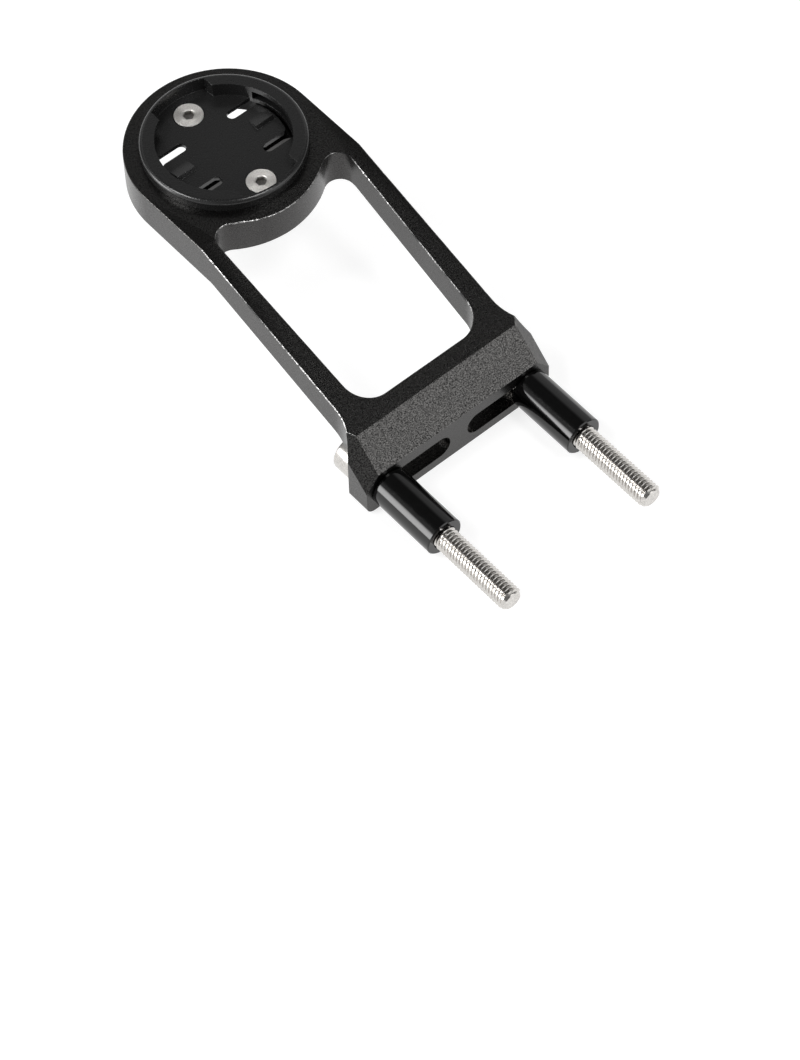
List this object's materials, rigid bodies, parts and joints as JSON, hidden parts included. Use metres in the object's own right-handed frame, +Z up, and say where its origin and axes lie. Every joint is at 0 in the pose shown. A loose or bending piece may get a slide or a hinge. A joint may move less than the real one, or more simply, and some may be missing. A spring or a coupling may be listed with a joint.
{
  "type": "bike computer mount",
  "caption": "Out-front mount for a bike computer: a slotted flange with spacers and bolts for the stem's face, two sloping arms and a round head with a quarter-turn socket.",
  "frame": {"origin": "centre of the flange's front face, level with the bolts and midway between them", "axes": "+X across the mount, -Y along the bolts towards the stem, +Y towards the head, +Z up out of the quarter-turn socket"},
  "size_m": [0.0446, 0.1195, 0.0309],
  "materials": {
    "anodised_aluminium": "black anodised over a fine bead blast",
    "moulded_plastic": "black glass-filled nylon, satin",
    "stainless_steel": "turned stainless steel",
    "gloss_black_tube": "polished black anodised tube"
  },
  "bodies": {
    "frame": {"bracket": "anodised_aluminium", "insert": "moulded_plastic", "insert_screw_front": "stainless_steel", "insert_screw_rear": "stainless_steel"},
    "left_spacer": {"spacer_left": "gloss_black_tube"},
    "left_bolt": {"bolt_left": "stainless_steel"},
    "right_spacer": {"spacer_right": "gloss_black_tube"},
    "right_bolt": {"bolt_right": "stainless_steel"}
  },
  "joints": [
    {"name": "left_slot_slide", "type": "slide", "parent": "frame", "child": "left_spacer", "axis": [1, 0, 0], "range_m": [0, 0.01235]},
    {"name": "right_slot_slide", "type": "slide", "parent": "frame", "child": "right_spacer", "axis": [-1, 0, 0], "range_m": [0, 0.01235]},
    {"name": "left_bolt_turn", "type": "hinge", "parent": "left_spacer", "child": "left_bolt", "pos_m": [-0.017, 0, 0], "axis": [0, -1, 0], "continuous": true},
    {"name": "right_bolt_turn", "type": "hinge", "parent": "right_spacer", "child": "right_bolt", "pos_m": [0.017, 0, 0], "axis": [0, -1, 0], "continuous": true}
  ]
}
